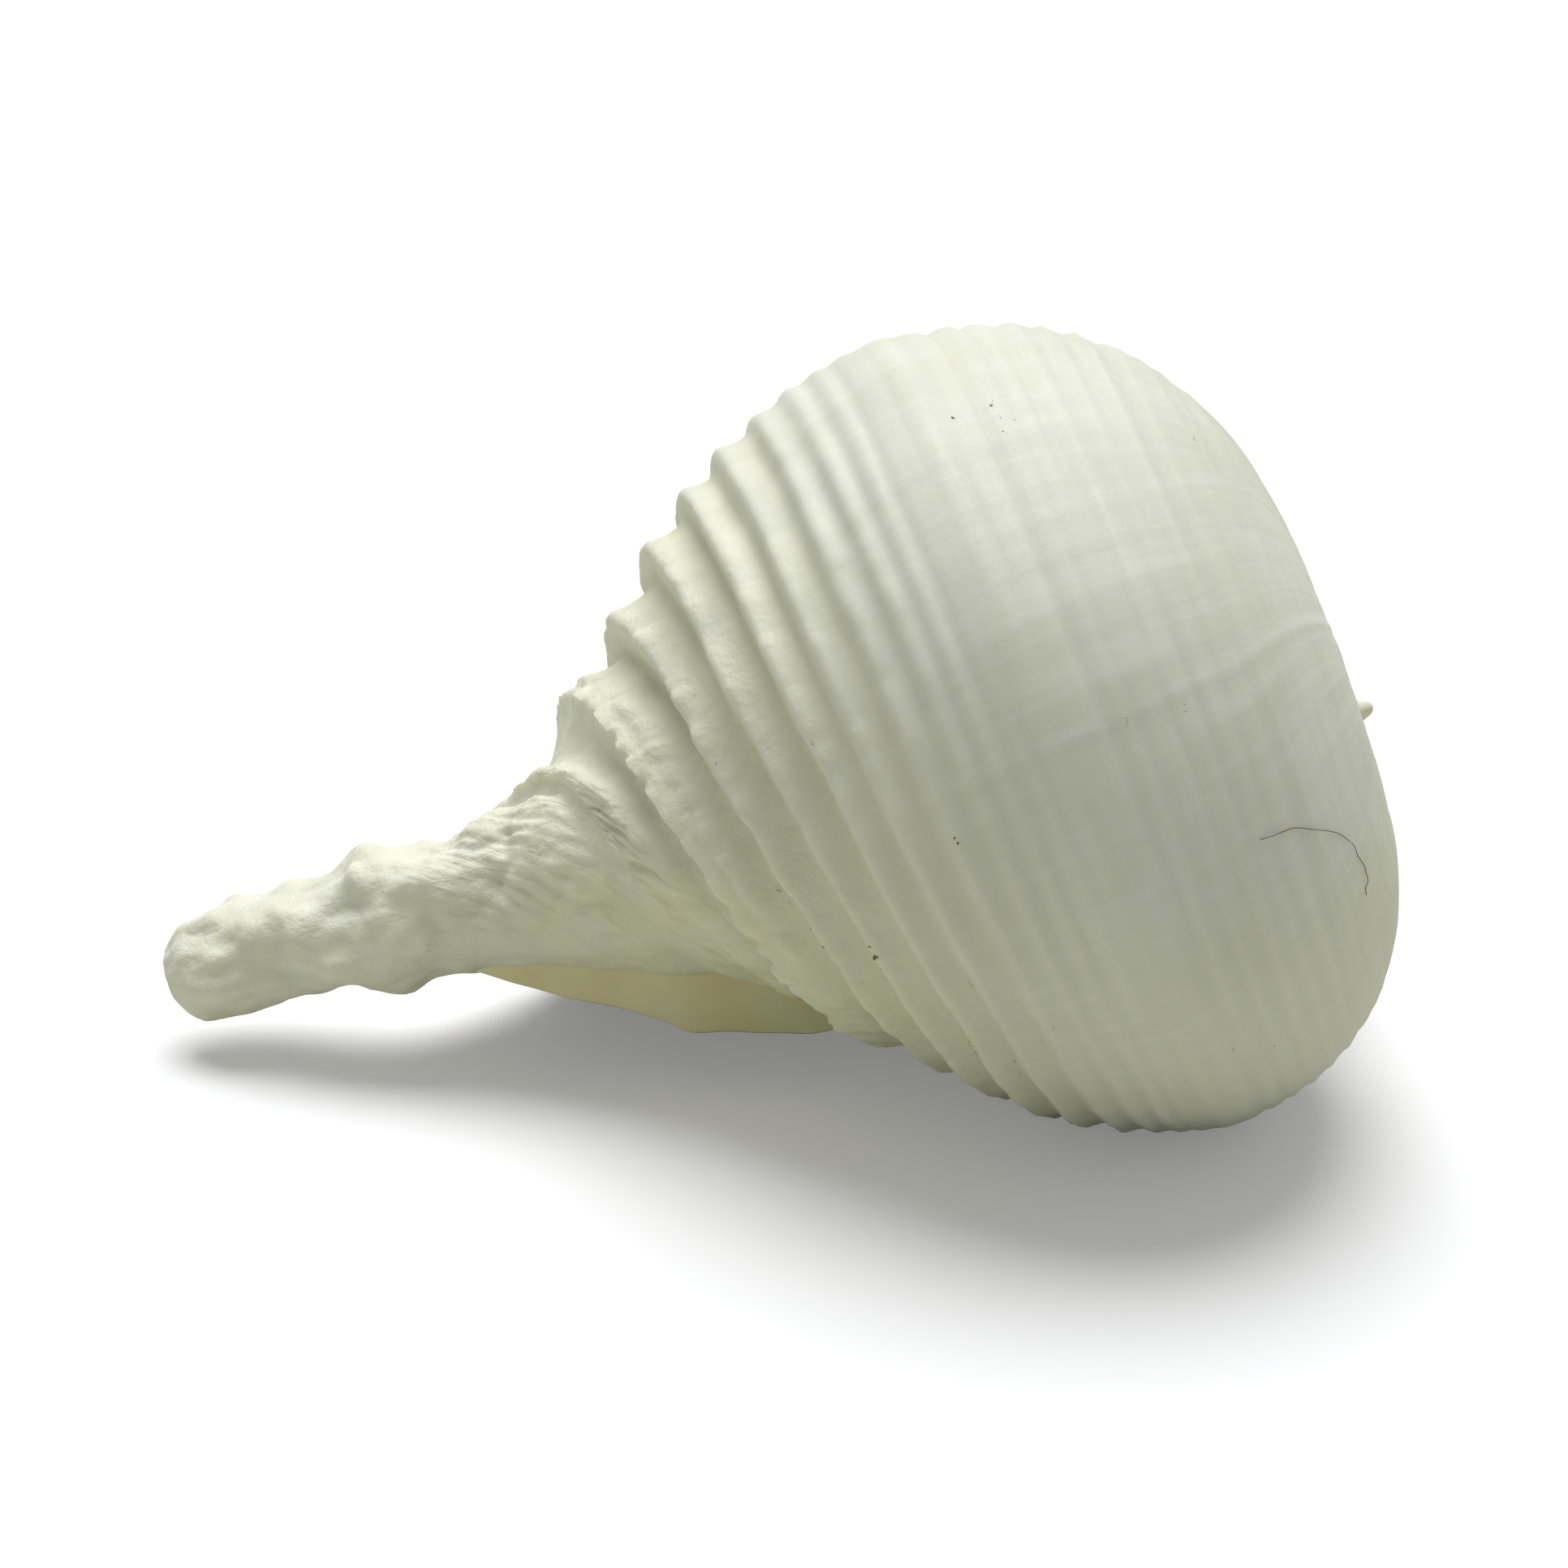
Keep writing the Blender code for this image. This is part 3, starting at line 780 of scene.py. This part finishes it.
def fibre_object(tree):
    """Thin dark fibre lying on the near side, lifted a little here and there."""
    points = []
    for i, (s, a) in enumerate(smooth_curve(FIBRE, 8)):
        lift = (0.05 + 0.12 * max(0.0, math.sin(i * 0.33)) ** 2) * MM
        points.append(surface_point(tree, s, a, lift)[0])
    last = len(points) - 1
    rings = []
    for i, p in enumerate(points):
        ahead = (points[min(i + 1, last)] - points[max(i - 1, 0)]).normalized()
        side = ahead.orthogonal().normalized()
        up = ahead.cross(side)
        radius = FIBRE_RADIUS * MM * (0.5 if i in (0, last) else 1.0)
        rings.append([tuple(p + radius * (math.cos(q) * side + math.sin(q) * up))
                      for q in np.linspace(0, 2 * math.pi, 6, endpoint=False)])
    item = tube("fibre", rings)
    close_normals(item)
    smooth(item)
    return item


def grains_object(tree):
    """Small grains of dirt caught in the grooves, three around each place."""
    random = np.random.RandomState(7)
    sides = 6
    vertices, faces = [], []
    for s, a, size in GRAINS:
        for _ in range(3):
            ds, da = random.normal(0, size * 0.9), random.normal(0, size * 3.5)
            centre, normal = surface_point(tree, s + ds * 0.6, a + da, 0.0)
            u = normal.orthogonal().normalized()
            v = normal.cross(u)
            base = len(vertices)
            reach = size * MM * random.uniform(0.25, 0.6)
            for k in range(sides):
                q = 2 * math.pi * k / sides
                r = reach * random.uniform(0.6, 1.2)
                rim = centre + r * math.cos(q) * u + 1.4 * r * math.sin(q) * v
                vertices.append(tuple(rim - normal * 0.01 * MM))
            vertices.append(tuple(centre + normal * reach * 0.45))
            vertices.append(tuple(centre - normal * reach * 0.3))
            for k in range(sides):
                m = (k + 1) % sides
                faces.append((base + k, base + m, base + sides))
                faces.append((base + m, base + k, base + sides + 1))
    item = add_mesh("dirt_grains", vertices, faces)
    smooth(item)
    return item


# Materials

# Colours of the shell: its two whites, then the tints laid over them, some of which are painted shade.
GREY_WHITE = (0.74, 0.755, 0.63, 1)
CREAM_WHITE = (0.80, 0.815, 0.70, 1)
BAND_WHITE = (0.85, 0.865, 0.78, 1)
THREAD_GREY = (0.62, 0.64, 0.53, 1)
STREAK_WHITE = (0.91, 0.92, 0.86, 1)
# Painted shade: yellow-green tint of the shaded lower side and base.
SHADE_TINT_CREAM = (0.83, 0.82, 0.57, 1)
# Painted shade: faint grey for the shade in the shallow hollows between the cords.
FAINT_GROOVE_SHADE = (0.68, 0.70, 0.60, 1)
# Painted shade: ochre-tinted shade deep in the hollows of the cords.
GROOVE_SHADE_OCHRE = (0.74, 0.735, 0.53, 1)
BASE_OCHRE = (0.80, 0.78, 0.58, 1)
CHALK = (0.80, 0.82, 0.74, 1)
# Painted shade: darker ochre in the troughs between the fine plies of the fasciole.
PLY_TROUGH_SHADE = (0.70, 0.71, 0.56, 1)
INSIDE_TAN = (0.72, 0.66, 0.50, 1)


class Graph:
    """A material with short calls for its nodes."""

    def __init__(self, name):
        self.material = bpy.data.materials.new(name)
        self.material.use_nodes = True
        self.nodes = self.material.node_tree.nodes
        self.links = self.material.node_tree.links
        self.shader = self.nodes["Principled BSDF"]

    def feed(self, socket, value):
        """Link a socket, or set a constant."""
        if isinstance(value, bpy.types.NodeSocket):
            self.links.new(value, socket)
        else:
            socket.default_value = value

    def position(self):
        return self.nodes.new("ShaderNodeTexCoord").outputs["Object"]

    def attribute(self, name, output="Fac"):
        node = self.nodes.new("ShaderNodeAttribute")
        node.attribute_name = name
        return node.outputs[output]

    def scaled(self, source, scale):
        node = self.nodes.new("ShaderNodeMapping")
        node.inputs["Scale"].default_value = scale
        self.links.new(source, node.inputs["Vector"])
        return node.outputs["Vector"]

    def noise(self, vector, scale, detail=3.0, roughness=0.55):
        node = self.nodes.new("ShaderNodeTexNoise")
        node.inputs["Scale"].default_value = scale
        node.inputs["Detail"].default_value = detail
        node.inputs["Roughness"].default_value = roughness
        self.links.new(vector, node.inputs["Vector"])
        return node.outputs["Fac"]

    def ramp(self, source, low, high, start=0.0, end=1.0):
        node = self.nodes.new("ShaderNodeMapRange")
        node.interpolation_type = "SMOOTHSTEP"
        node.inputs["From Min"].default_value = low
        node.inputs["From Max"].default_value = high
        node.inputs["To Min"].default_value = start
        node.inputs["To Max"].default_value = end
        self.links.new(source, node.inputs["Value"])
        return node.outputs["Result"]

    def blend(self, share, first, second):
        node = self.nodes.new("ShaderNodeMix")
        node.data_type = "RGBA"
        for slot, value in ((0, share), (6, first), (7, second)):
            self.feed(node.inputs[slot], value)
        return node.outputs[2]

    def maths(self, operation, first, second):
        node = self.nodes.new("ShaderNodeMath")
        node.operation = operation
        self.feed(node.inputs[0], first)
        self.feed(node.inputs[1], second)
        return node.outputs[0]

    def times(self, first, second):
        return self.maths("MULTIPLY", first, second)

    def bump(self, height, distance, strength):
        node = self.nodes.new("ShaderNodeBump")
        node.inputs["Distance"].default_value = distance
        node.inputs["Strength"].default_value = strength
        self.links.new(height, node.inputs["Height"])
        self.links.new(node.outputs["Normal"], self.shader.inputs["Normal"])


def shell_material():
    """Chalky white with bands and threads along the growth, and painted ochre shade in the hollows of the
    cords.
    """
    g = Graph("shell_chalk_white")
    place = g.position()
    flow = g.attribute("flow", "Vector")
    relief = g.attribute("relief")
    zone = g.attribute("zone")
    plied = g.attribute("plied")
    clouds = g.noise(place, 130.0, 4.0)
    patches = g.noise(place, 330.0, 2.0)
    pits = g.noise(place, 1100.0, 3.0, 0.6)
    grain = g.noise(place, 2600.0, 3.0, 0.7)
    bands = g.noise(g.scaled(flow, (0.11, 1.5, 0.0)), 1.0, 3.0, 0.45)
    threads = g.noise(g.scaled(flow, (0.9, 0.0, 0.08)), 1.0, 2.0, 0.45)
    plies = g.noise(g.attribute("ply", "Vector"), 1.0, 1.6, 0.5)

    colour = g.blend(g.ramp(clouds, 0.35, 0.7), GREY_WHITE, CREAM_WHITE)
    tints = [
        (g.ramp(bands, 0.45, 0.75, 0.0, 0.4), BAND_WHITE),
        (g.ramp(threads, 0.35, 0.6, 0.22, 0.0), THREAD_GREY),
        (g.ramp(g.attribute("streak"), 0.0, 1.0, 0.0, 0.5), STREAK_WHITE),
        # Painted shade: yellow-green tint on the lower near side and the base.
        (g.times(g.attribute("shade_tint"), 0.9), SHADE_TINT_CREAM),
        # Painted shade: faint grey where the hollows between the cords are shallow.
        (g.ramp(relief, 0.02, 0.22, 0.0, 0.30), FAINT_GROOVE_SHADE),
        # Painted shade: ochre-tinted shade where the hollows are deep.
        (g.ramp(relief, 0.15, 1.2, 0.0, 0.62), GROOVE_SHADE_OCHRE),
        (g.times(zone, g.ramp(clouds, 0.48, 0.66, 0.0, 0.35)), BASE_OCHRE),
        (g.times(zone, g.ramp(patches, 0.5, 0.65, 0.0, 0.35)), CHALK),
        # Painted shade: darker in the troughs between the plies, where the ply relief is low.
        (g.times(plied, g.ramp(plies, 0.35, 0.6, 0.30, 0.0)), PLY_TROUGH_SHADE),
        (g.times(g.attribute("inside"), 0.6), INSIDE_TAN),
    ]
    for share, tint in tints:
        colour = g.blend(share, colour, tint)
    g.feed(g.shader.inputs["Base Color"], colour)

    height = g.times(bands, 0.03 * MM)
    reliefs = [
        g.times(threads, 0.05 * MM),
        g.times(grain, 0.02 * MM),
        g.times(plied, g.times(plies, 0.17 * MM)),
        g.times(g.ramp(g.attribute("rough"), 0.0, 1.0, 0.0, 0.24 * MM), pits),
    ]
    for part in reliefs:
        height = g.maths("ADD", height, part)
    g.bump(height, 1.0, 0.8)

    g.feed(g.shader.inputs["Roughness"], g.ramp(grain, 0.3, 0.7, 0.50, 0.64))
    g.shader.inputs["Specular IOR Level"].default_value = 0.35
    g.shader.inputs["Subsurface Weight"].default_value = 0.42
    g.shader.inputs["Subsurface Radius"].default_value = (1.0, 0.9, 0.6)
    g.shader.inputs["Subsurface Scale"].default_value = 0.8 * MM
    return g.material


def lip_material():
    """Smoother tan of the inner lip."""
    g = Graph("inner_lip_tan")
    place = g.position()
    clouds = g.noise(place, 160.0, 4.0)
    streaks = g.noise(g.scaled(place, (300.0, 300.0, 900.0)), 1.0, 3.0)
    colour = g.blend(g.ramp(clouds, 0.35, 0.68), (0.79, 0.72, 0.39, 1), (0.87, 0.81, 0.50, 1))
    colour = g.blend(g.ramp(streaks, 0.5, 0.7, 0.0, 0.3), colour, (0.80, 0.76, 0.54, 1))
    g.feed(g.shader.inputs["Base Color"], colour)
    g.bump(streaks, 0.04 * MM, 1.0)
    g.feed(g.shader.inputs["Roughness"], g.ramp(clouds, 0.3, 0.7, 0.35, 0.5))
    return g.material


def plain_material(name, dark, light, roughness):
    """Matt material with a fine variation in its colour."""
    g = Graph(name)
    cloud = g.noise(g.position(), 900.0, 2.0)
    g.feed(g.shader.inputs["Base Color"], g.blend(cloud, dark, light))
    g.shader.inputs["Roughness"].default_value = roughness
    return g.material


def place_pieces():
    """The shell with its hollow, its leaf, and the fibre and dirt that lie on it."""
    body, world, values, azimuth = outer_object()
    close_normals(body)
    cut(body, [hollow_cutter(), gutter_cutter(), notch_cutter(), floor_cutter()])
    tag_surface(body, world, values, azimuth)
    smooth(body, 60)
    bm = bmesh.new()
    bm.from_mesh(body.data)
    tree = BVHTree.FromBMesh(bm)
    bm.free()
    lip = inner_lip_object()
    fibre = fibre_object(tree)
    grains = grains_object(tree)
    fibre_dark = plain_material("fibre_dark", (0.05, 0.045, 0.03, 1), (0.11, 0.09, 0.06, 1), 0.7)
    dirt_dark = plain_material("dirt_dark", (0.10, 0.10, 0.08, 1), (0.22, 0.21, 0.16, 1), 0.9)
    looks = [(body, shell_material()), (lip, lip_material()), (fibre, fibre_dark), (grains, dirt_dark)]
    for piece, material in looks:
        piece.data.materials.clear()
        piece.data.materials.append(material)
        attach(piece, "root")
    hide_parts("shell")


def floor_plane(name, height, colour, glow):
    """Plain square sheet of floor, five metres wide."""
    bm = bmesh.new()
    bmesh.ops.create_grid(bm, x_segments=1, y_segments=1, size=2.5)
    bmesh.ops.translate(bm, vec=(0, 0, height), verts=bm.verts)
    mesh = bpy.data.meshes.new(name)
    bm.to_mesh(mesh)
    bm.free()
    plane = bpy.data.objects.new(name, mesh)
    bpy.context.scene.collection.objects.link(plane)
    g = Graph(name)
    g.shader.inputs["Base Color"].default_value = colour
    g.shader.inputs["Roughness"].default_value = 0.9
    g.shader.inputs["Specular IOR Level"].default_value = 0.0
    g.shader.inputs["Emission Color"].default_value = (1, 1, 1, 1)
    g.shader.inputs["Emission Strength"].default_value = glow
    plane.data.materials.append(g.material)
    return plane


def add_floor():
    """White floor that the camera sees, and a greyer, warmer one that throws light back up."""
    seen = floor_plane("floor_white", 0.0, (0.75, 0.75, 0.7725, 1), 0.205)
    seen.visible_diffuse = False
    seen.visible_glossy = False
    seen.visible_transmission = False
    seen.visible_shadow = False
    bounce = floor_plane("floor_bounce", -0.1 * MM, (0.58, 0.59, 0.52, 1), 0.0)
    bounce.visible_camera = False


def add_light():
    """One broad lamp, almost overhead and a little behind the shell, and a plain pale sky."""
    sun = bpy.data.lights.new("soft_sky", "SUN")
    sun.energy = 3.30
    sun.angle = math.radians(48)
    lamp = bpy.data.objects.new("soft_sky", sun)
    lamp.rotation_euler = (math.radians(-15), math.radians(-2), 0)
    bpy.context.scene.collection.objects.link(lamp)
    world = bpy.data.worlds.new("studio")
    world.use_nodes = True
    sky = world.node_tree.nodes["Background"]
    sky.inputs["Color"].default_value = (1.0, 1.0, 0.98, 1)
    sky.inputs["Strength"].default_value = 0.22
    bpy.context.scene.world = world
    bpy.context.scene.view_settings.view_transform = "Standard"


def add_camera():
    """The photograph's viewpoint: 20 degrees above the floor, 136 mm in front of the apex."""
    elevation = math.radians(CAMERA_ELEVATION)
    right = Vector((1, 0, 0))
    up = Vector((0, math.sin(elevation), math.cos(elevation)))
    back = Vector((0, -math.cos(elevation), math.sin(elevation)))
    data = bpy.data.cameras.new("camera")
    data.sensor_fit = "HORIZONTAL"
    data.sensor_width = 36.0
    data.lens = data.sensor_width * CAMERA_DISTANCE / PHOTO_WIDTH
    data.clip_start = 0.005
    data.clip_end = 20.0
    data.dof.use_dof = False
    camera = bpy.data.objects.new("camera", data)
    from_apex = -APEX_RIGHT * right - APEX_ABOVE * up + CAMERA_DISTANCE * back
    place = Vector(APEX) + from_apex / PIXELS_PER_MM
    camera.matrix_world = Matrix.Translation(place * MM) @ Matrix((right, up, back)).transposed().to_4x4()
    bpy.context.scene.collection.objects.link(camera)
    bpy.context.scene.camera = camera


place_pieces()
add_floor()
add_light()
add_camera()
